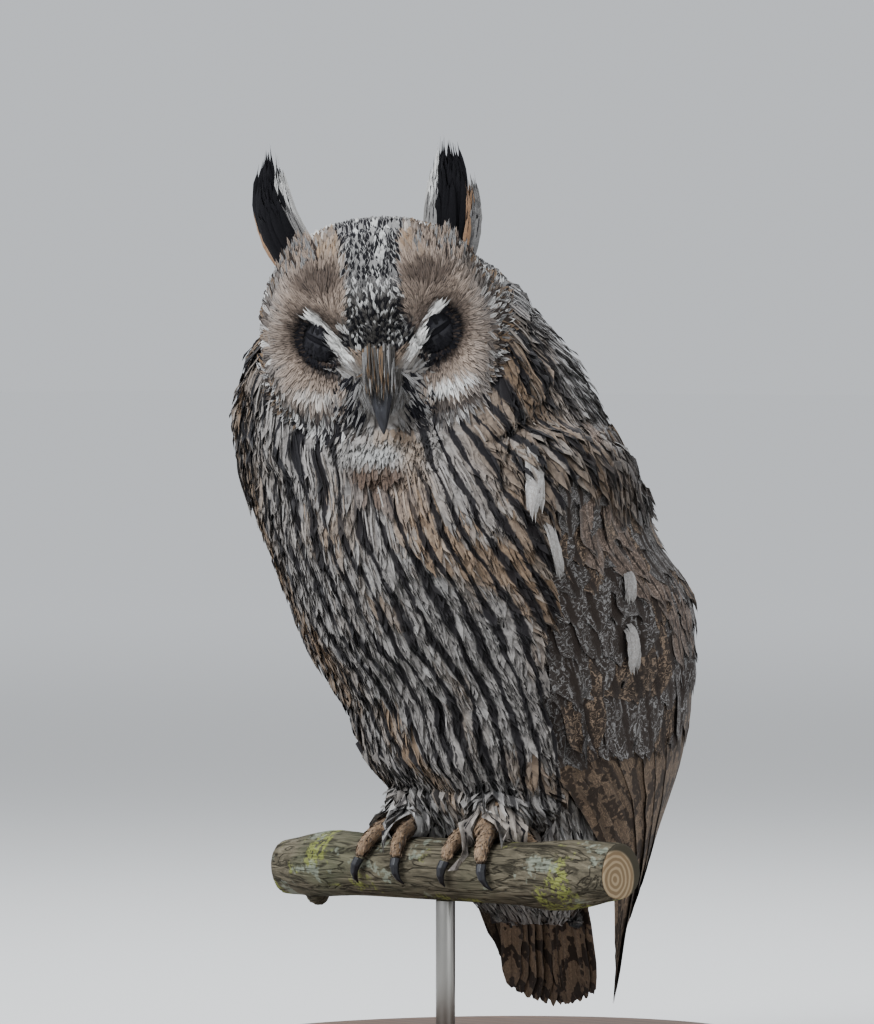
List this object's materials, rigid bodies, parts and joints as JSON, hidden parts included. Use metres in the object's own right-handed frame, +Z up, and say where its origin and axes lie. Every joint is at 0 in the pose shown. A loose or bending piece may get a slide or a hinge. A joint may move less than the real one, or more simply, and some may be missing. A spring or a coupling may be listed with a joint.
{
  "type": "long-eared owl figure",
  "caption": "Life-size long-eared owl resting upright on a cut branch, head turned to its left, ear tufts raised, on a rod and an oval base.",
  "frame": {"origin": "centre of the underside of the stand's base, below the middle of the bird", "axes": "+Z up; the body faces -Y, the bird's left is +X, and the head is turned about 39 degrees towards +X; the picture looks from azimuth 43 degrees"},
  "size_m": [0.21, 0.244, 0.391],
  "materials": {
    "plumage": "matt feathers",
    "tuft": "matt feathers",
    "wing": "matt feathers",
    "tail": "matt feathers",
    "leg": "short downy feathers",
    "bill": "satin horn",
    "eye": "wet gloss",
    "claw": "satin horn",
    "bark": "rough bark",
    "base": "oiled",
    "steel": "brushed"
  },
  "bodies": {
    "root": {"torso": "plumage", "neck": "plumage", "head": "plumage", "bill_upper": "bill", "bill_lower": "bill", "tail": "tail", "ear_tuft_left": "tuft", "eye_left": "eye", "wing_left": "wing", "foot_left": "leg", "leg_left": "leg", "claw_left_1": "claw", "claw_left_2": "claw", "claw_left_3": "claw", "claw_left_4": "claw", "ear_tuft_right": "tuft", "eye_right": "eye", "wing_right": "wing", "foot_right": "leg", "leg_right": "leg", "claw_right_1": "claw", "claw_right_2": "claw", "claw_right_3": "claw", "claw_right_4": "claw", "perch_branch": "bark", "stand_rod": "steel", "stand_base": "base"}
  },
  "joints": []
}
